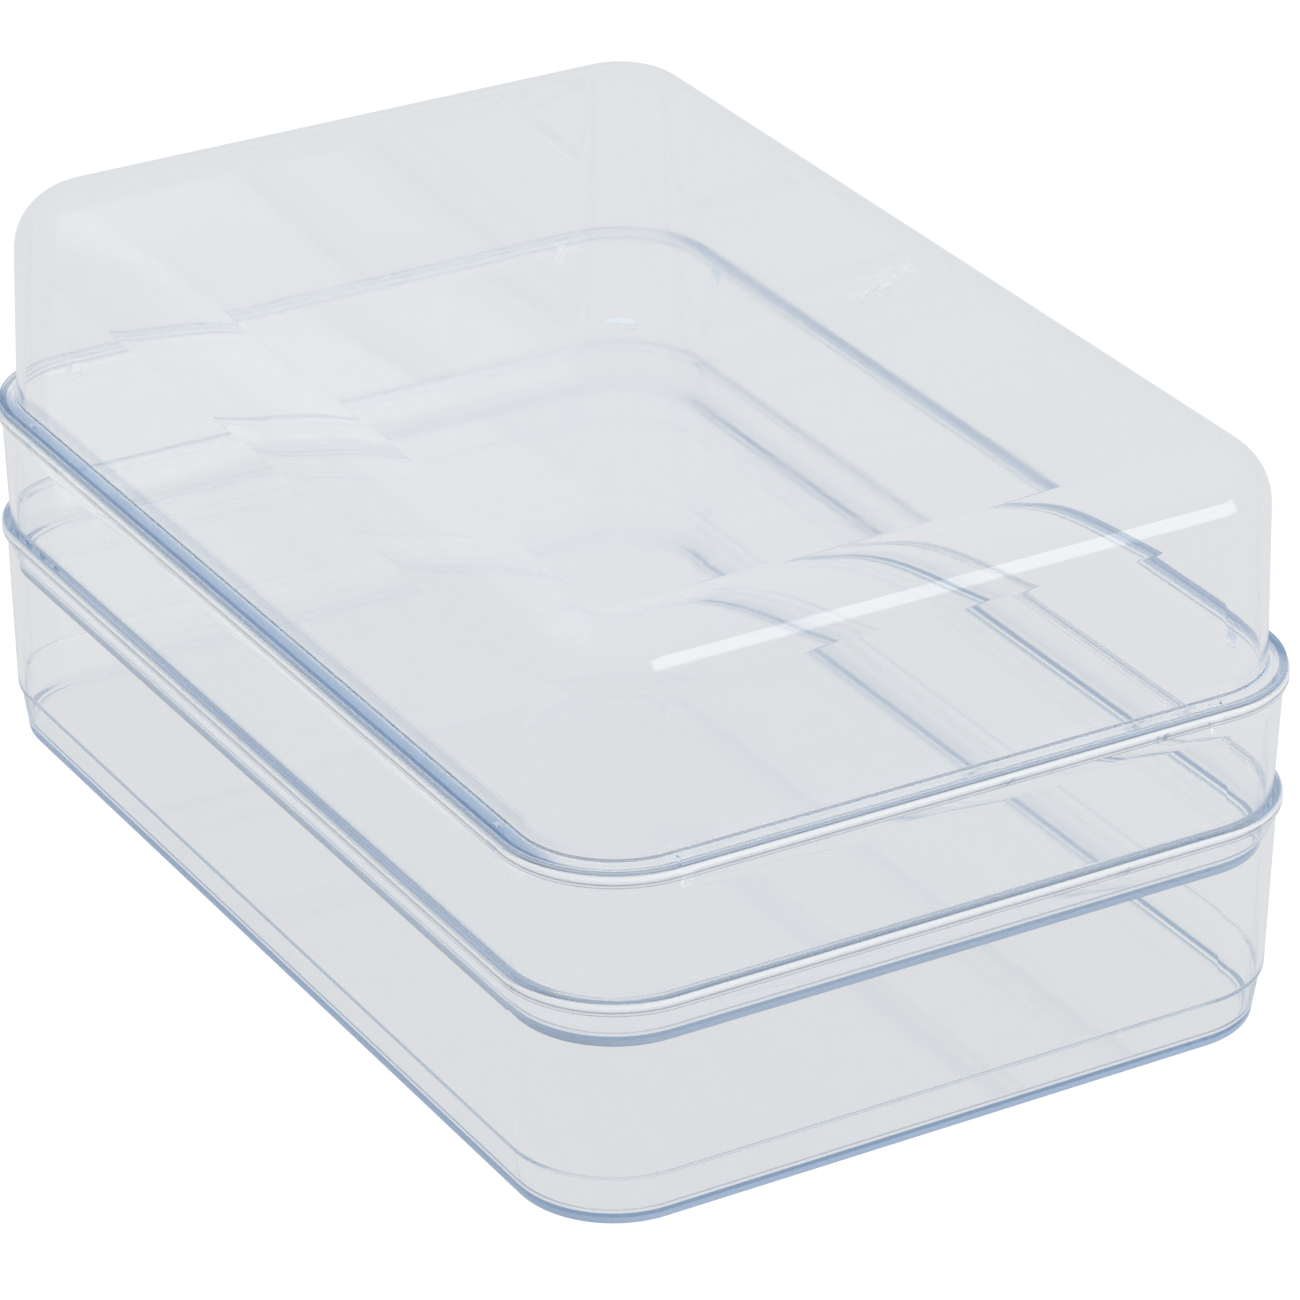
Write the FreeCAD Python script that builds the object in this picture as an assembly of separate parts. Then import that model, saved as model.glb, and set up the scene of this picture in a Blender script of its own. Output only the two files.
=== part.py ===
"""Fridge bin set: a deep bin, a shallower bin nested in its mouth, and a tall cover.

Millimetres, Z up.  The origin is the centre of the bottom bin's underside, X across the
short direction, Y along the long one.  Every plan curve is the same rounded rectangle,
moved in or out by an offset, so one cross-section of (offset, height) makes a whole piece.
"""
import FreeCAD, Part
import math
import os

# plan of the base outline, the zero of every offset
RIM_LENGTH = 300.0
RIM_WIDTH = 200.0
RIM_OFFSET = 4.6
HALF_X = RIM_WIDTH / 2 - RIM_OFFSET
HALF_Y = RIM_LENGTH / 2 - RIM_OFFSET
CORNER = 23.5

# both bins
FLOOR = 2.0
SKIRT_TOP = 1.8
SHOULDER = 2.4
SHOULDER_Z = 12.8
FLARE_DROP = 6.0
WALL_TOP = 3.3
WALL = 1.45
LIP_FACE = 2.8
LIP_ROOT = 3.9
LIP_MOUTH = 2.05
LIP_ROUND = 1.0
BOTTOM_HEIGHT = 58.1
MIDDLE_HEIGHT = 44.2

# cover
COVER_HEIGHT = 54.8
COVER_WALL = 1.6
COVER_FOOT = -0.4
COVER_HEAD = -1.8
FLANGE_EDGE = 4.0
FLANGE_THICK = 1.2
TOP_ROUND = 14.6
TAB_DROP = 6.0
TAB_WIDTH = 3.0
TAB_OUTER = 1.8
TAB_INNER = 0.3
TAB_ON_LONG = 115.0
TAB_ON_SHORT = 68.5
GATE_RADIUS = 4.3
GATE_X = -4.0
GATE_Y = -8.0
GATE_DEPTH = 0.5

# small locating nib under the middle bin's shoulder, on one corner
NIB_WIDTH = 3.5
NIB_HEIGHT = 1.8
NIB_ANGLE = 237.0

MIDDLE_Z = BOTTOM_HEIGHT - SHOULDER_Z
COVER_Z = MIDDLE_Z + MIDDLE_HEIGHT


def section(points):
    """Face in the XZ plane from (offset, height, fillet radius) corners; x is CORNER + offset."""
    count = len(points)
    knots = []
    for i in range(count):
        here = FreeCAD.Vector(CORNER + points[i][0], 0, points[i][1])
        before = points[i - 1]
        after = points[(i + 1) % count]
        radius = points[i][2]
        if radius == 0:
            knots.append((here, here, here))
            continue
        back = FreeCAD.Vector(CORNER + before[0], 0, before[1]) - here
        ahead = FreeCAD.Vector(CORNER + after[0], 0, after[1]) - here
        back.normalize()
        ahead.normalize()
        half = back.getAngle(ahead) / 2
        reach = radius / math.tan(half)
        bisector = back + ahead
        bisector.normalize()
        centre = here + bisector * (radius / math.sin(half))
        middle = centre - bisector * radius
        knots.append((here + back * reach, middle, here + ahead * reach))
    edges = []
    for i in range(count):
        start, middle, end = knots[i]
        if start.distanceToPoint(end) > 1e-6:
            edges.append(Part.Arc(start, middle, end).toShape())
        following = knots[(i + 1) % count][0]
        if end.distanceToPoint(following) > 1e-6:
            edges.append(Part.LineSegment(end, following).toShape())
    return Part.Face(Part.Wire(edges))


def rounded_ring(points, bottom, top):
    """Carry a section round the rounded rectangle; bottom to top is the plate's thickness."""
    face = section(points)
    inner_x = HALF_X - CORNER
    inner_y = HALF_Y - CORNER
    pieces = []
    quadrants = [(1, 1, 0), (-1, 1, 90), (-1, -1, 180), (1, -1, 270)]
    for sign_x, sign_y, turn in quadrants:
        corner = face.revolve(FreeCAD.Vector(0, 0, 0), FreeCAD.Vector(0, 0, 1), 90)
        corner.rotate(FreeCAD.Vector(0, 0, 0), FreeCAD.Vector(0, 0, 1), turn)
        corner.translate(FreeCAD.Vector(sign_x * inner_x, sign_y * inner_y, 0))
        pieces.append(corner)
    for turn, across, along in [(0, inner_x, inner_y), (90, inner_y, inner_x),
                                (180, inner_x, inner_y), (270, inner_y, inner_x)]:
        side = face.extrude(FreeCAD.Vector(0, 2 * along, 0))
        side.translate(FreeCAD.Vector(across, -along, 0))
        side.rotate(FreeCAD.Vector(0, 0, 0), FreeCAD.Vector(0, 0, 1), turn)
        pieces.append(side)
    plate = Part.makeBox(2 * inner_x, 2 * inner_y, top - bottom,
                         FreeCAD.Vector(-inner_x, -inner_y, bottom))
    return plate.fuse(pieces).removeSplitter()


def bin_shell(height):
    """One open bin: flat floor, tapered skirt, shoulder, drafted wall, flare and lip."""
    wall_z = height - FLARE_DROP
    lip_z = height - LIP_FACE
    points = [
        (-CORNER, 0.0, 0),
        (0.0, 0.0, 1.0),
        (SKIRT_TOP, SHOULDER_Z, 0),
        (SHOULDER, SHOULDER_Z, 0),
        (WALL_TOP, wall_z, 4.0),
        (LIP_ROOT, lip_z, 0),
        (RIM_OFFSET, lip_z, 0.3),
        (RIM_OFFSET, height, LIP_ROUND),
        (LIP_MOUTH, height, 0),
        (WALL_TOP - WALL, wall_z, 0),
        (SHOULDER - 1.45, SHOULDER_Z + 0.5, 0.8),
        (SKIRT_TOP - 1.45, SHOULDER_Z - 0.7, 0.8),
        (-1.25, FLOOR, 3.0),
        (-CORNER, FLOOR, 0),
    ]
    return rounded_ring(points, 0.0, FLOOR)


def cover_shell():
    """Tall cover: flange on the rim, near-upright wall, large rounded top edges."""
    under = COVER_HEIGHT - COVER_WALL
    points = [
        (COVER_FOOT - COVER_WALL, 0.0, 0),
        (FLANGE_EDGE, 0.0, 0.4),
        (FLANGE_EDGE, FLANGE_THICK, 0.5),
        (COVER_FOOT, FLANGE_THICK, 0.8),
        (COVER_HEAD, COVER_HEIGHT, TOP_ROUND),
        (-CORNER, COVER_HEIGHT, 0),
        (-CORNER, under, 0),
        (COVER_HEAD - COVER_WALL, under, TOP_ROUND - COVER_WALL),
    ]
    return rounded_ring(points, under, COVER_HEIGHT)


def tab():
    """One locating tab hanging under the flange, drawn at the +X side's middle."""
    outline = [
        (TAB_INNER, 0.3),
        (TAB_OUTER, 0.3),
        (TAB_OUTER, -0.4),
        (TAB_OUTER - 0.3, -TAB_DROP + 0.5),
        (TAB_OUTER - 0.7, -TAB_DROP),
        (TAB_INNER + 0.3, -TAB_DROP),
        (TAB_INNER, -TAB_DROP + 0.5),
    ]
    corners = [FreeCAD.Vector(offset, -TAB_WIDTH / 2, z) for offset, z in outline]
    corners.append(corners[0])
    face = Part.Face(Part.makePolygon(corners))
    return face.extrude(FreeCAD.Vector(0, TAB_WIDTH, 0))


def tabs():
    """Eight tabs, two at each corner, one on each of the walls that meet there."""
    made = []
    for turn, across, along in [(0, HALF_X, TAB_ON_LONG), (90, HALF_Y, TAB_ON_SHORT),
                                (180, HALF_X, TAB_ON_LONG), (270, HALF_Y, TAB_ON_SHORT)]:
        for side in (-1, 1):
            piece = tab()
            piece.translate(FreeCAD.Vector(across, side * along, 0))
            piece.rotate(FreeCAD.Vector(0, 0, 0), FreeCAD.Vector(0, 0, 1), turn)
            made.append(piece)
    return made


def nib():
    """Small block on the skirt, just under the shoulder; its face stays inside the skirt top."""
    depth = 1.0
    reach = CORNER + SKIRT_TOP
    block = Part.makeBox(depth, NIB_WIDTH, NIB_HEIGHT,
                         FreeCAD.Vector(reach - depth - 0.05, -NIB_WIDTH / 2,
                                        SHOULDER_Z - 0.2 - NIB_HEIGHT))
    block.rotate(FreeCAD.Vector(0, 0, 0), FreeCAD.Vector(0, 0, 1), NIB_ANGLE)
    block.translate(FreeCAD.Vector(-(HALF_X - CORNER), -(HALF_Y - CORNER), 0))
    return block


os.makedirs("parts", exist_ok=True)

bottom = bin_shell(BOTTOM_HEIGHT)

middle = bin_shell(MIDDLE_HEIGHT)
middle = middle.fuse(nib()).removeSplitter()
middle.translate(FreeCAD.Vector(0, 0, MIDDLE_Z))

cover = cover_shell()
cover = cover.fuse(tabs())
ball = (GATE_RADIUS ** 2 + GATE_DEPTH ** 2) / (2 * GATE_DEPTH)
dish = Part.makeSphere(ball, FreeCAD.Vector(GATE_X, GATE_Y, COVER_HEIGHT + ball - GATE_DEPTH))
cover = cover.cut(dish).removeSplitter()
cover.translate(FreeCAD.Vector(0, 0, COVER_Z))

for name, shape in [("bottom_bin", bottom), ("middle_bin", middle), ("cover", cover)]:
    if len(shape.Solids) != 1:
        raise ValueError("%s has %d solids" % (name, len(shape.Solids)))
    solid = shape.Solids[0]
    solid.exportStep("parts/%s.step" % name)
    box = solid.BoundBox
    print(name, "valid", solid.isValid(), "faces", len(solid.Faces),
          "z", round(box.ZMin, 2), round(box.ZMax, 2),
          "size", round(box.XLength, 2), round(box.YLength, 2), "volume", round(solid.Volume))
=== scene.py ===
"""A clear fridge bin set: a deep bin, a shallower bin nested in its mouth, and a tall cover."""
import math

import bmesh
import bpy
from mathutils import Matrix, Vector


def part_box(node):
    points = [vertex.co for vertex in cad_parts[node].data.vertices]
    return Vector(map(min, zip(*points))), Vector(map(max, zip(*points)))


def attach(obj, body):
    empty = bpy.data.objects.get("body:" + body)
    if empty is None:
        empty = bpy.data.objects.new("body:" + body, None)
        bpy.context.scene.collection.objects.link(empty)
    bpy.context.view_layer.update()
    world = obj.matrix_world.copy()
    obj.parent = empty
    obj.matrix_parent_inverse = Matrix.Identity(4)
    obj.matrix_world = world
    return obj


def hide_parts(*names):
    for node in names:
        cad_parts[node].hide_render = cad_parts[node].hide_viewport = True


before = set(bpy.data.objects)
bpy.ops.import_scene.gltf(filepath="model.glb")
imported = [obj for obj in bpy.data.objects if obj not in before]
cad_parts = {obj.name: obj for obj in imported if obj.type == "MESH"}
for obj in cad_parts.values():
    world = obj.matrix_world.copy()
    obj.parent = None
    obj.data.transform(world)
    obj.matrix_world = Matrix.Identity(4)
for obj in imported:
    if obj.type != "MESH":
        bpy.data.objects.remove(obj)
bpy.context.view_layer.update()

MM = 0.001


# ---------------------------------------------------------------- sizes, in millimetres

CORNER = 23.5  # corner radius of the base outline, which is the zero of every offset
RIM_OFFSET = 4.6
RIM_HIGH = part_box("bottom_bin")[1]
HALF_X = RIM_HIGH[0] / MM - RIM_OFFSET
HALF_Y = RIM_HIGH[1] / MM - RIM_OFFSET
BOTTOM_HEIGHT = RIM_HIGH[2] / MM
MIDDLE_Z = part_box("middle_bin")[0][2] / MM
MIDDLE_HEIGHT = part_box("middle_bin")[1][2] / MM - MIDDLE_Z
COVER_Z = MIDDLE_Z + MIDDLE_HEIGHT
COVER_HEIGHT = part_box("cover")[1][2] / MM - COVER_Z

AIR = 0.05  # air left between pieces that rest on each other, as between real mouldings
CORNER_STEPS = 24

FLOOR = 2.0
SHOULDER_Z = 12.8
FLARE_DROP = 6.0
LIP_FACE = 2.8
COVER_WALL = 1.6
FLANGE_EDGE = 4.0
FLANGE_THICK = 1.2
FLANGE_TOP = COVER_Z + FLANGE_THICK
TOP_ROUND = 14.6

# locating tabs under the flange, a little narrower at their tips
TAB_DROP = 6.0
TAB_ROOT = 0.6
TAB_WIDTH = 3.0
TAB_TIP_WIDTH = 2.6
TAB_INNER = 0.3
TAB_OUTER = 1.8
TAB_TIP_OUTER = 1.5
TAB_ON_LONG = 115.0
TAB_ON_SHORT = 68.5

# nib under the middle bin's shoulder, on one corner
NIB_SIZE = (1.2, 3.5, 1.8)
NIB_FACE = 1.75
NIB_Z = 11.7
NIB_ANGLE = 237

# gate mark, a shallow dish in the cover's top
GATE_RADIUS = 4.3
GATE_X = -4.0
GATE_Y = -8.0
GATE_DEPTH = 0.5


# ---------------------------------------------------------------- mouldings

def as_piece(name, bm):
    """A finished bmesh as a smooth-shaded object at the origin."""
    for face in bm.faces:
        face.smooth = True
    mesh = bpy.data.meshes.new(name)
    bm.to_mesh(mesh)
    bm.free()
    piece = bpy.data.objects.new(name, mesh)
    bpy.context.scene.collection.objects.link(piece)
    return piece


def sweep(name, corners):
    """Carry an open section round the rounded rectangle and close its two plates.

    Each corner of the section is (offset, height, reach of its rounding, segments).
    """
    bm = bmesh.new()
    inner_x = (HALF_X - CORNER) * MM
    inner_y = (HALF_Y - CORNER) * MM
    line = [bm.verts.new((inner_x + (CORNER + offset) * MM, inner_y, height * MM))
            for offset, height, reach, segments in corners]
    for start, end in zip(line, line[1:]):
        bm.edges.new((start, end))
    for vert, (offset, height, reach, segments) in zip(line, corners):
        if reach:
            bmesh.ops.bevel(bm, geom=[vert], offset=reach * MM, offset_type="OFFSET",
                            segments=segments, profile=0.5, affect="VERTICES", material=-1)
    last = bm.verts[:] + bm.edges[:]
    turns = [((inner_x, inner_y), (-2 * inner_x, 0)), ((-inner_x, inner_y), (0, -2 * inner_y)),
             ((-inner_x, -inner_y), (2 * inner_x, 0)), ((inner_x, -inner_y), (0, 2 * inner_y))]
    for (axis_x, axis_y), (run_x, run_y) in turns:
        spun = bmesh.ops.spin(bm, geom=last, cent=(axis_x, axis_y, 0), axis=(0, 0, 1),
                              angle=math.pi / 2, steps=CORNER_STEPS)
        edges = [part for part in spun["geom_last"] if isinstance(part, bmesh.types.BMEdge)]
        pulled = bmesh.ops.extrude_edge_only(bm, edges=edges)
        last = [part for part in pulled["geom"] if not isinstance(part, bmesh.types.BMFace)]
        verts = [part for part in last if isinstance(part, bmesh.types.BMVert)]
        bmesh.ops.translate(bm, verts=verts, vec=(run_x, run_y, 0))
    bmesh.ops.remove_doubles(bm, verts=bm.verts[:], dist=0.002 * MM)
    rims = [edge for edge in bm.edges if edge.is_boundary]
    bmesh.ops.holes_fill(bm, edges=rims, sides=0)
    bmesh.ops.recalc_face_normals(bm, faces=bm.faces[:])
    return as_piece(name, bm)


def bin_section(height):
    """Section of a bin that stands at height 0: underside first, floor inside last."""
    wall_z = height - FLARE_DROP
    lip_z = height - LIP_FACE
    return [
        (-CORNER, 0.0, 0, 0),              # underside
        (0.0, 0.0, 0.9, 5),                # foot
        (1.8, SHOULDER_Z, 0.12, 2),        # top of the skirt
        (2.4, SHOULDER_Z, 0.15, 3),        # shoulder
        (3.3, wall_z, 1.0, 5),             # top of the wall, where it flares
        (3.9, lip_z, 0.15, 2),             # root of the lip
        (RIM_OFFSET, lip_z, 0.25, 3),      # lip's lower edge
        (RIM_OFFSET, height, 1.0, 7),      # lip's rounding
        (2.05, height, 0.15, 3),           # mouth
        (1.85, wall_z, 0.5, 2),            # the same levels inside, down to the floor
        (0.95, SHOULDER_Z + 0.5, 0.4, 3),
        (0.35, SHOULDER_Z - 0.7, 0.4, 3),
        (-1.25, FLOOR, 2.4, 7),
        (-CORNER, FLOOR, 0, 0),
    ]


def lifted(corners, rise):
    """The same section, higher up."""
    return [(offset, height + rise, reach, segments)
            for offset, height, reach, segments in corners]


def cover_section():
    """Section of the cover over its flange's underside: inside first, top outside last."""
    under = COVER_HEIGHT - COVER_WALL
    return [
        (-CORNER, under, 0, 0),                        # underside of the top
        (-3.4, under, TOP_ROUND - COVER_WALL, 12),     # inside of the top's rounding
        (-2.0, AIR, 0.08, 2),                          # foot of the wall, inside
        (FLANGE_EDGE, AIR, 0.35, 3),
        (FLANGE_EDGE, FLANGE_THICK, 0.45, 4),
        (-0.4, FLANGE_THICK, 0.7, 5),                  # foot of the wall, outside
        (-1.8, COVER_HEIGHT, TOP_ROUND, 14),           # the top's rounding
        (-CORNER, COVER_HEIGHT, 0, 0),
    ]


def soften(bm, reach):
    """Round every edge of small blocks."""
    bmesh.ops.bevel(bm, geom=bm.edges[:], offset=reach, offset_type="OFFSET", segments=3,
                    profile=0.5, affect="EDGES", material=-1)


def tab_tool():
    """The eight locating tabs, two at each corner, as one object to be joined to the flange."""
    bm = bmesh.new()
    for turn, across, along in [(0, HALF_X, TAB_ON_LONG), (90, HALF_Y, TAB_ON_SHORT),
                                (180, HALF_X, TAB_ON_LONG), (270, HALF_Y, TAB_ON_SHORT)]:
        for side in (-1, 1):
            made = bmesh.ops.create_cube(bm, size=1)["verts"]
            for vert in made:
                tip = vert.co.z < 0
                outer = TAB_TIP_OUTER if tip else TAB_OUTER
                vert.co.x = across + (TAB_INNER if vert.co.x < 0 else outer)
                vert.co.y = side * along + vert.co.y * (TAB_TIP_WIDTH if tip else TAB_WIDTH)
                vert.co.z = -TAB_DROP if tip else TAB_ROOT
            bmesh.ops.rotate(bm, verts=made, cent=(0, 0, 0),
                             matrix=Matrix.Rotation(math.radians(turn), 3, "Z"))
    soften(bm, 0.3)
    bmesh.ops.translate(bm, verts=bm.verts[:], vec=(0, 0, COVER_Z))
    bmesh.ops.scale(bm, verts=bm.verts[:], vec=(MM, MM, MM))
    return as_piece("tab_tool", bm)


def nib_tool():
    """The locating nib, to be joined to the middle bin's skirt."""
    bm = bmesh.new()
    bmesh.ops.create_cube(bm, size=1)
    bmesh.ops.scale(bm, verts=bm.verts[:], vec=NIB_SIZE)
    soften(bm, 0.2)
    bmesh.ops.translate(bm, verts=bm.verts[:],
                        vec=(CORNER + NIB_FACE - NIB_SIZE[0] / 2, 0, MIDDLE_Z + NIB_Z))
    bmesh.ops.rotate(bm, verts=bm.verts[:], cent=(0, 0, 0),
                     matrix=Matrix.Rotation(math.radians(NIB_ANGLE), 3, "Z"))
    bmesh.ops.translate(bm, verts=bm.verts[:], vec=(CORNER - HALF_X, CORNER - HALF_Y, 0))
    bmesh.ops.scale(bm, verts=bm.verts[:], vec=(MM, MM, MM))
    return as_piece("nib_tool", bm)


def gate_tool():
    """A large ball that cuts the gate mark's shallow dish."""
    bm = bmesh.new()
    ball = (GATE_RADIUS ** 2 + GATE_DEPTH ** 2) / (2 * GATE_DEPTH)
    bmesh.ops.create_uvsphere(bm, u_segments=96, v_segments=96, radius=ball * MM)
    bmesh.ops.translate(bm, verts=bm.verts[:],
                        vec=(GATE_X * MM, GATE_Y * MM,
                             (COVER_Z + COVER_HEIGHT + ball - GATE_DEPTH) * MM))
    return as_piece("gate_tool", bm)


def carve(piece, tool, operation):
    """Join or cut one object with another for good, and drop the tool."""
    change = piece.modifiers.new("carve", "BOOLEAN")
    change.operation = operation
    change.solver = "EXACT"
    change.object = tool
    bpy.context.view_layer.update()
    seen = piece.evaluated_get(bpy.context.evaluated_depsgraph_get())
    mesh = bpy.data.meshes.new_from_object(seen)
    piece.modifiers.clear()
    piece.data = mesh
    mesh.name = piece.name
    bpy.data.objects.remove(tool)
    for face in mesh.polygons:
        face.use_smooth = True


def even_shading(piece):
    """Keep broad flats flat to the eye and leave the turn of the light to the roundings."""
    weigh = piece.modifiers.new("even", "WEIGHTED_NORMAL")
    weigh.mode = "FACE_AREA"
    weigh.weight = 50
    weigh.keep_sharp = False


bottom_bin = sweep("bottom_bin_clear", bin_section(BOTTOM_HEIGHT))
middle_bin = sweep("middle_bin_clear", lifted(bin_section(MIDDLE_HEIGHT), MIDDLE_Z))
carve(middle_bin, nib_tool(), "UNION")
cover = sweep("cover_clear", lifted(cover_section(), COVER_Z))
carve(cover, tab_tool(), "UNION")
carve(cover, gate_tool(), "DIFFERENCE")

for piece, node in [(bottom_bin, "bottom_bin"), (middle_bin, "middle_bin"), (cover, "cover")]:
    even_shading(piece)
    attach(piece, node)
    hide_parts(node)


# ---------------------------------------------------------------- node helpers

def colour(code):
    """An sRGB hex colour as linear light."""
    parts = [int(code[i:i + 2], 16) / 255 for i in (0, 2, 4)]
    return tuple(p / 12.92 if p <= 0.04045 else ((p + 0.055) / 1.055) ** 2.4
                 for p in parts) + (1.0,)


def add_node(tree, kind, settings=None, inputs=None, links=None):
    """Add one node; inputs are values and links are sockets, by socket name or number."""
    node = tree.nodes.new(kind)
    for key, value in (settings or {}).items():
        setattr(node, key, value)
    for key, value in (inputs or {}).items():
        node.inputs[key].default_value = value
    for key, socket in (links or {}).items():
        tree.links.new(socket, node.inputs[key])
    return node


def new_material(name):
    """An empty node material and its output."""
    material = bpy.data.materials.new(name)
    material.use_nodes = True
    material.node_tree.nodes.clear()
    output = material.node_tree.nodes.new("ShaderNodeOutputMaterial")
    return material, material.node_tree, output


def product(tree, *sockets):
    """Several masks multiplied together."""
    total = sockets[0]
    for socket in sockets[1:]:
        total = add_node(tree, "ShaderNodeMath", {"operation": "MULTIPLY"}, None,
                         {0: total, 1: socket}).outputs[0]
    return total


def turned_down(tree, mask, amount):
    """A mask times a fixed amount."""
    return add_node(tree, "ShaderNodeMath", {"operation": "MULTIPLY"}, {1: amount},
                    {0: mask}).outputs[0]


def unsigned(tree, value):
    """A number without its sign."""
    return add_node(tree, "ShaderNodeMath", {"operation": "ABSOLUTE"}, None,
                    {0: value}).outputs[0]


def ramp(tree, value, start, end, low=0.0, high=1.0):
    """A soft step from low to high as value goes from start to end."""
    step = add_node(tree, "ShaderNodeMapRange", {"interpolation_type": "SMOOTHSTEP"},
                    {"From Min": start, "From Max": end, "To Min": low, "To Max": high},
                    {"Value": value})
    return step.outputs["Result"]


def band(tree, height, low, high):
    """1 between two heights in millimetres, falling softly to 0 on either side."""
    soft = 0.3 * MM
    low, high = low * MM, high * MM
    return product(tree, ramp(tree, height, low - soft, low),
                   ramp(tree, height, high, high + soft, 1.0, 0.0))


def with_painted_glow(tree, mask, code):
    """White, with a colour of painted edge light laid over it by a mask."""
    mix = add_node(tree, "ShaderNodeMix", {"data_type": "RGBA"}, None, {"Factor": mask})
    mix.inputs["A"].default_value = colour("FFFFFF")
    mix.inputs["B"].default_value = colour(code)
    return mix.outputs["Result"]


def laid_over(tree, mask, below, above):
    """One finish laid over another by a mask."""
    return add_node(tree, "ShaderNodeMixShader", None, None,
                    {0: mask, 1: below, 2: above}).outputs["Shader"]


# ---------------------------------------------------------------- clear polystyrene

POLYSTYRENE_IOR = 1.59
DEPTH_BLUE = "30A8DF"    # what the plastic leaves of white light along a way through it
DEPTH_DENSITY = 5.5
FLOW_SCALE = 40.0        # the slow waves that the melt's flow leaves in a wall
RIPPLE_HEIGHT = 0.4      # millimetres
RIPPLE_STRENGTH = 0.02
BEST_POLISH = 0.02       # roughness
POOREST_POLISH = 0.05
LEVEL_FROM = 0.75        # upright part of the normal at which a face begins to count as level
LEVEL_FULL = 0.97

LIP_PAINTED_EDGE_LIGHT = "CFD9E6"      # painted edge light: pale blue painted on the flat top of a lip, where light from deep in the wall comes out
FLANGE_PAINTED_EDGE_LIGHT = "AEC6E2"   # painted edge light: pale blue painted on the cover's flange over the two long lips, where the lips' light shows through
BASE_PAINTED_EDGE_LIGHT = "B3C4DA"     # painted edge light: pale blue painted on the cut of the floor plate, standing in for light from inside the plate
FLANGE_RIM_PAINTED_SHADE = "8FA0B6"     # painted shade: blue-grey painted on the flange's rim, seen on its cut edge
LIP_PAINTED_HIGHLIGHT = "FFFFFF"     # painted highlight: white painted on the lip's rounding, a fine bright line
ARRIS_PAINTED_SHADE = "8C98A4"    # painted shade: grey painted on the lip's lower edge, a fine grey line
CAUGHT_GREY_PAINTED_GLOW = "BAC2CC"   # painted glow: grey emission standing in for light caught in a bin's walls
CAUGHT_WHITE_PAINTED_GLOW = "FDFEFF"  # painted glow: near-white emission standing in for light caught in the cover
CAUGHT_AFTER = 20.0      # turns that light takes before it counts as caught

SCUFF_AT = (60.5, -18.5, 144.3)
SCUFF_REACH = (19.0, 7.0, 4.0)
SCUFF_TURN = 31
SCUFF_STRENGTH = 0.45


def scuffed(tree, place, surface):
    """A few faint white rubs on the cover's top, near one long edge."""
    turned = add_node(tree, "ShaderNodeMapping", {"vector_type": "TEXTURE"},
                      {"Location": tuple(v * MM for v in SCUFF_AT),
                       "Rotation": (0, 0, math.radians(SCUFF_TURN)),
                       "Scale": tuple(v * MM for v in SCUFF_REACH)}, {"Vector": place})
    reach = add_node(tree, "ShaderNodeVectorMath", {"operation": "LENGTH"}, None,
                     {"Vector": turned.outputs["Vector"]})
    near = ramp(tree, reach.outputs["Value"], 0.4, 1.0, 1.0, 0.0)
    streaks = add_node(tree, "ShaderNodeTexNoise", None,
                       {"Scale": 2.4, "Detail": 4.0, "Roughness": 0.65},
                       {"Vector": turned.outputs["Vector"]})
    rubbed = product(tree, near, ramp(tree, streaks.outputs["Fac"], 0.52, 0.66))
    chalk = add_node(tree, "ShaderNodeBsdfDiffuse", None, {"Color": colour("FFFFFF")})
    return laid_over(tree, turned_down(tree, rubbed, SCUFF_STRENGTH), surface,
                     chalk.outputs["BSDF"])


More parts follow.
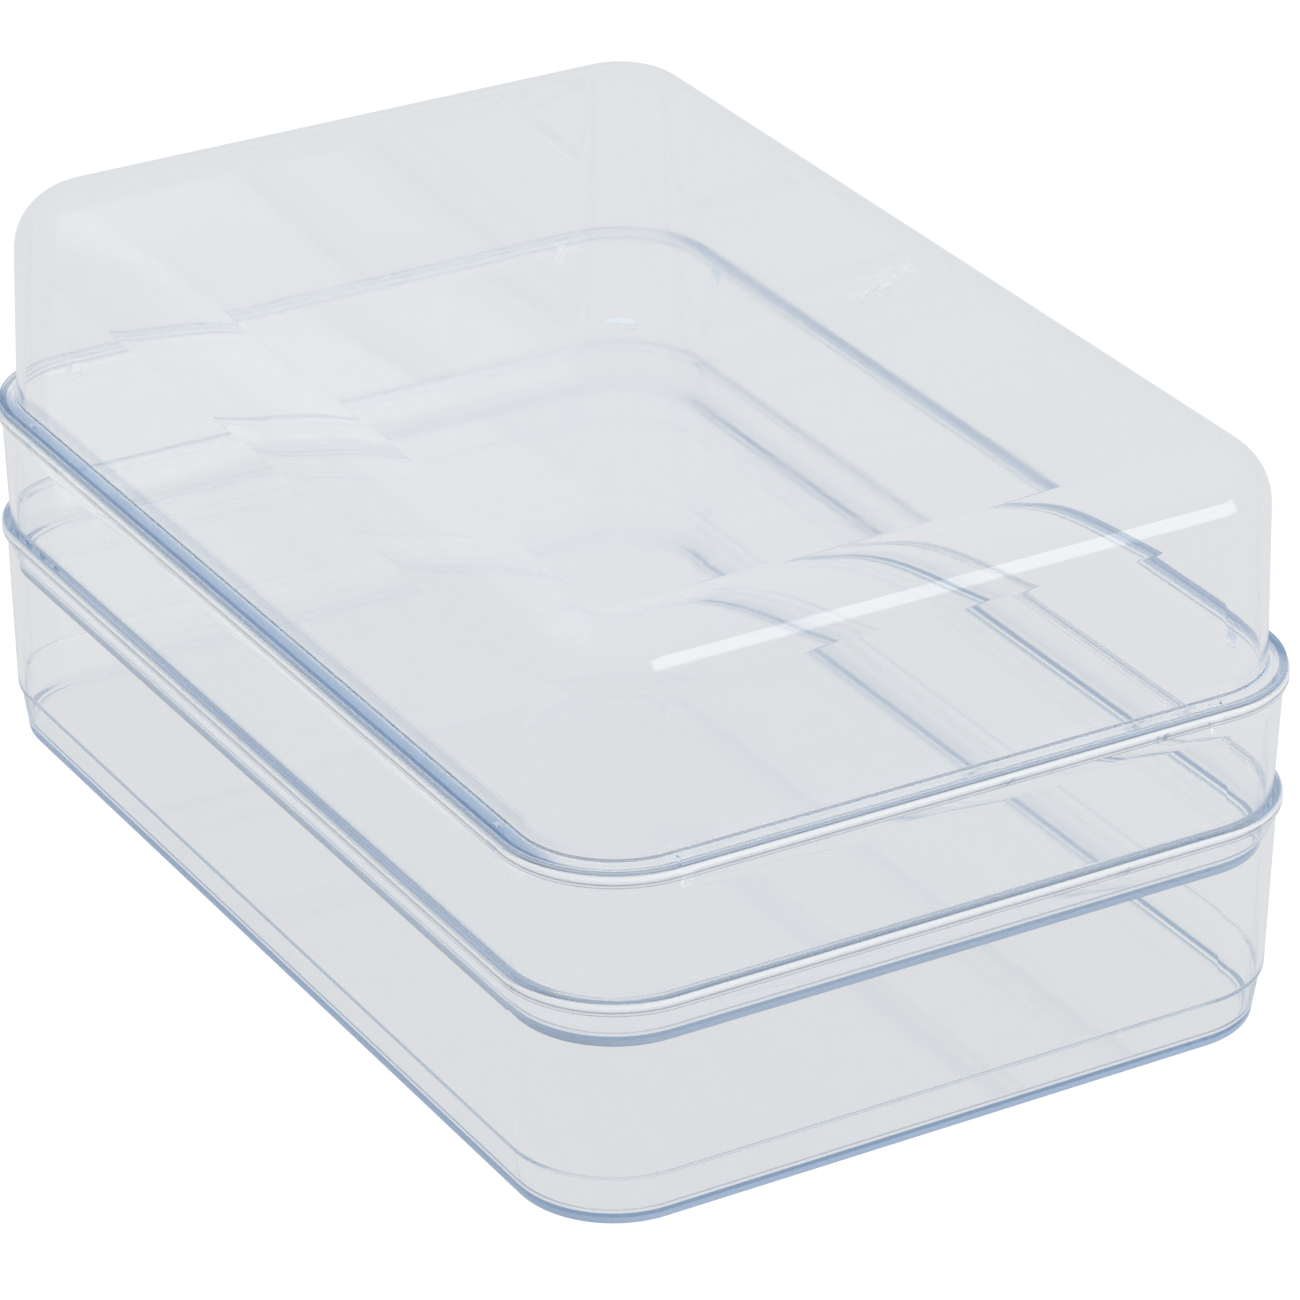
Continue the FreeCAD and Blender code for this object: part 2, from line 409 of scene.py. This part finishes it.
def clear_polystyrene(name, lip, flange, edges, caught_glow_colour):
    """Injection-moulded general-purpose polystyrene: glass-clear, polished, faintly blue in depth.

    The eye sees through it with a slow ripple and a slightly uneven polish.  Light that runs
    inside the walls and comes out at the edges is painted in as colour: a painted pale blue on
    the lip's flat top, the floor plate's cut edge and the flange over the long lips, a painted
    blue-grey shade on the flange's cut rim, a painted white highlight on the lip's rounding and a
    painted grey shade line on its lower edge; light caught deep in a wall ends in a painted glow.
    A bin is given the heights of its lip's flat top and the cover those of its flange; edges are
    (low, high, colour, strength) of the painted edge light and shade.
    """
    material, tree, output = new_material(name)
    place = add_node(tree, "ShaderNodeTexCoord").outputs["Object"]
    axes = add_node(tree, "ShaderNodeSeparateXYZ", None, None, {"Vector": place})
    height = axes.outputs["Z"]
    facing = add_node(tree, "ShaderNodeNewGeometry").outputs["Normal"]
    tilt = add_node(tree, "ShaderNodeSeparateXYZ", None, None, {"Vector": facing})
    level = unsigned(tree, tilt.outputs["Z"])
    flat = ramp(tree, level, LEVEL_FROM, LEVEL_FULL)
    upright = ramp(tree, level, LEVEL_FROM, LEVEL_FULL, 1.0, 0.0)

    if lip:
        # painted edge light: a pale blue laid into the base colour of the lip's flat top
        tone = with_painted_glow(tree, product(tree, flat, band(tree, height, *lip)), LIP_PAINTED_EDGE_LIGHT)
    else:
        # painted edge light: a pale blue laid into the flange's base colour, from the foot of the
        # wall outwards, on the two long sides only
        long_side = ramp(tree, unsigned(tree, axes.outputs["X"]),
                         (HALF_X - 3.4) * MM, (HALF_X + 2.0) * MM)
        tone = with_painted_glow(tree, product(tree, flat, band(tree, height, *flange), long_side),
                      FLANGE_PAINTED_EDGE_LIGHT)
    flow = add_node(tree, "ShaderNodeTexNoise", None, {"Scale": FLOW_SCALE, "Detail": 3.0},
                    {"Vector": place}).outputs["Fac"]
    rough = add_node(tree, "ShaderNodeMapRange", None,
                     {"From Min": 0.35, "From Max": 0.75, "To Min": BEST_POLISH,
                      "To Max": POOREST_POLISH}, {"Value": flow})
    ripple = add_node(tree, "ShaderNodeBump", None,
                      {"Strength": RIPPLE_STRENGTH, "Distance": RIPPLE_HEIGHT * MM},
                      {"Height": flow})
    clear = add_node(tree, "ShaderNodeBsdfPrincipled", None,
                     {"IOR": POLYSTYRENE_IOR, "Transmission Weight": 1.0},
                     {"Base Color": tone, "Roughness": rough.outputs["Result"],
                      "Normal": ripple.outputs["Normal"]})
    surface = clear.outputs["BSDF"]

    outward = add_node(tree, "ShaderNodeVectorMath", {"operation": "DOT_PRODUCT"}, None,
                       {0: facing, 1: place})
    outer = product(tree, ramp(tree, outward.outputs["Value"], 0.0, 0.03), upright)
    # painted edge light and shade: flat diffuse colours laid over the outer upright faces in
    # height bands
    for low, high, code, strength in edges:
        where = product(tree, outer, band(tree, height, low, high))
        painted_edge_light = add_node(tree, "ShaderNodeBsdfDiffuse", None, {"Color": colour(code)})
        surface = laid_over(tree, turned_down(tree, where, strength), surface,
                            painted_edge_light.outputs["BSDF"])
    if flange:
        surface = scuffed(tree, place, surface)

    # lamps shine through the plastic without a shadow
    ray = add_node(tree, "ShaderNodeLightPath")
    lamp_light = add_node(tree, "ShaderNodeBsdfTransparent", None, {"Color": colour("FFFFFF")})
    surface = laid_over(tree, ray.outputs["Is Shadow Ray"], surface, lamp_light.outputs["BSDF"])
    # painted glow: light caught inside a wall that has turned many times gives a fixed emission
    # colour, not black
    caught = add_node(tree, "ShaderNodeMath", {"operation": "GREATER_THAN"},
                      {1: CAUGHT_AFTER}, {0: ray.outputs["Ray Depth"]})
    glow = add_node(tree, "ShaderNodeEmission", None, {"Color": colour(caught_glow_colour)})
    surface = laid_over(tree, caught.outputs[0], surface, glow.outputs["Emission"])
    material.cycles.emission_sampling = "NONE"

    depth = add_node(tree, "ShaderNodeVolumeAbsorption", None,
                     {"Color": colour(DEPTH_BLUE), "Density": DEPTH_DENSITY})
    tree.links.new(surface, output.inputs["Surface"])
    tree.links.new(depth.outputs["Volume"], output.inputs["Volume"])
    return material


def base_and_lip(low, high):
    """Painted edge light and shade of a bin: a painted pale blue on its floor plate's cut, a
    painted white highlight on its lip's rounding and a painted grey shade line on its lip's lower
    edge.
    """
    return [(low + 0.2, low + 1.9, BASE_PAINTED_EDGE_LIGHT, 0.75),
            (high - 0.9, high, LIP_PAINTED_HIGHLIGHT, 0.45),
            (high - LIP_FACE, high - LIP_FACE + 0.2, ARRIS_PAINTED_SHADE, 0.55)]


for piece, lip, flange, edges, caught_glow_colour in [
        (bottom_bin, (BOTTOM_HEIGHT - 0.6, BOTTOM_HEIGHT + 0.2), None,
         base_and_lip(0.0, BOTTOM_HEIGHT), CAUGHT_GREY_PAINTED_GLOW),
        (middle_bin, (COVER_Z - 0.6, COVER_Z + 0.02), None,
         base_and_lip(MIDDLE_Z, COVER_Z), CAUGHT_GREY_PAINTED_GLOW),
        (cover, None, (COVER_Z, FLANGE_TOP),
         [(COVER_Z + 0.1, FLANGE_TOP - 0.2, FLANGE_RIM_PAINTED_SHADE, 0.6)], CAUGHT_WHITE_PAINTED_GLOW)]:
    piece.data.materials.clear()
    piece.data.materials.append(
        clear_polystyrene("polystyrene_" + piece.name.replace("_clear", ""), lip, flange, edges,
                          caught_glow_colour))


# ---------------------------------------------------------------- floor and light

FLOOR_PAINT = "606060"
FLOOR_LIGHT = "FCFDFF"
FLOOR_GLOW = 0.67  # light table under the sweep
FLOOR_LIFT = 0.30  # keeps the sweep at paper white where it is seen directly
FLOOR_DROP = 0.4   # millimetres under the object

TENT_LIGHT = "F4F7FA"
TENT_SIDE = 0.83
TENT_TOP = 1.0
TENT_SEEN = 1.12   # paper white where the tent itself is in view

SOFTBOX_AT = (0.74, -1.37, 0.55)
SOFTBOX_AIM = (0, -0.13, 0.12)
SOFTBOX_WIDTH = 0.95
SOFTBOX_HEIGHT = 0.5
SOFTBOX_POWER = 2.0
PANELS = 4


def pale_floor():
    """A seamless pale sweep under the object: matt grey paint, lit from below."""
    bm = bmesh.new()
    bmesh.ops.create_circle(bm, cap_ends=True, segments=96, radius=12.0)
    bmesh.ops.translate(bm, verts=bm.verts[:], vec=(0, 0, -FLOOR_DROP * MM))
    ground = as_piece("studio_floor", bm)
    material, tree, output = new_material("studio_white_floor")
    paint = add_node(tree, "ShaderNodeBsdfDiffuse", None, {"Color": colour(FLOOR_PAINT)})
    ray = add_node(tree, "ShaderNodeLightPath")
    lift = turned_down(tree, ray.outputs["Is Camera Ray"], FLOOR_LIFT)
    strength = add_node(tree, "ShaderNodeMath", {"operation": "ADD"}, {1: FLOOR_GLOW}, {0: lift})
    glow = add_node(tree, "ShaderNodeEmission", None, {"Color": colour(FLOOR_LIGHT)},
                    {"Strength": strength.outputs[0]})
    both = add_node(tree, "ShaderNodeAddShader", None, None,
                    {0: paint.outputs["BSDF"], 1: glow.outputs["Emission"]})
    tree.links.new(both.outputs["Shader"], output.inputs["Surface"])
    ground.data.materials.append(material)


def studio_surround():
    """A tent of white paper round the object, a little brighter overhead."""
    world = bpy.data.worlds.new("studio_surround")
    world.use_nodes = True
    tree = world.node_tree
    light = tree.nodes["Background"]
    light.inputs["Color"].default_value = colour(TENT_LIGHT)
    way = add_node(tree, "ShaderNodeTexCoord")
    parts = add_node(tree, "ShaderNodeSeparateXYZ", None, None,
                     {"Vector": way.outputs["Generated"]})
    tent = ramp(tree, parts.outputs["Z"], 0.1, 0.95, TENT_SIDE, TENT_TOP)
    ray = add_node(tree, "ShaderNodeLightPath")
    seen = turned_down(tree, ray.outputs["Is Camera Ray"], TENT_SEEN)
    strength = add_node(tree, "ShaderNodeMath", {"operation": "MAXIMUM"}, None,
                        {0: tent, 1: seen})
    tree.links.new(strength.outputs[0], light.inputs["Strength"])
    bpy.context.scene.world = world


def softbox(name, place, target, size, power):
    """A rectangular area lamp at place, facing target."""
    lamp = bpy.data.lights.new(name, "AREA")
    lamp.shape = "RECTANGLE"
    lamp.size, lamp.size_y = size
    lamp.energy = power
    holder = bpy.data.objects.new(name, lamp)
    holder.matrix_world = (Matrix.Translation(place)
                           @ (Vector(target) - Vector(place)).to_track_quat("-Z", "Y")
                           .to_matrix().to_4x4())
    bpy.context.scene.collection.objects.link(holder)


pale_floor()
studio_surround()
# one long softbox, brightest along its middle, as panels of falling height
for panel in range(PANELS):
    panel_height = SOFTBOX_HEIGHT - 0.12 * panel
    softbox("softbox_front_%d" % panel, SOFTBOX_AT, SOFTBOX_AIM,
            (SOFTBOX_WIDTH - 0.05 * panel, panel_height),
            SOFTBOX_POWER * panel_height / SOFTBOX_HEIGHT)


# ---------------------------------------------------------------- camera

AZIMUTH = math.radians(-30.62)
ELEVATION = math.radians(27.44)
ROLL = math.radians(0.25)
SENSOR = 36.0
FOCAL = 175.8835385
CAMERA_AT = (-0.67445, -1.15507, 0.75025)
BOUNCES = 24  # walls seen through walls need this many

back = Vector((math.sin(AZIMUTH) * math.cos(ELEVATION),
               -math.cos(AZIMUTH) * math.cos(ELEVATION), math.sin(ELEVATION)))
level = Vector((math.cos(AZIMUTH), math.sin(AZIMUTH), 0))
upright = back.cross(level)
right = level * math.cos(ROLL) + upright * math.sin(ROLL)
up = upright * math.cos(ROLL) - level * math.sin(ROLL)

lens = bpy.data.cameras.new("camera")
lens.sensor_width = SENSOR
lens.lens = FOCAL
lens.clip_start = 0.05
camera = bpy.data.objects.new("camera", lens)
camera.matrix_world = Matrix((
    (right.x, up.x, back.x, CAMERA_AT[0]),
    (right.y, up.y, back.y, CAMERA_AT[1]),
    (right.z, up.z, back.z, CAMERA_AT[2]),
    (0, 0, 0, 1)))
bpy.context.scene.collection.objects.link(camera)
bpy.context.scene.camera = camera

scene = bpy.context.scene
scene.view_settings.view_transform = "Standard"
scene.cycles.max_bounces = BOUNCES
scene.cycles.transmission_bounces = BOUNCES
scene.cycles.glossy_bounces = BOUNCES
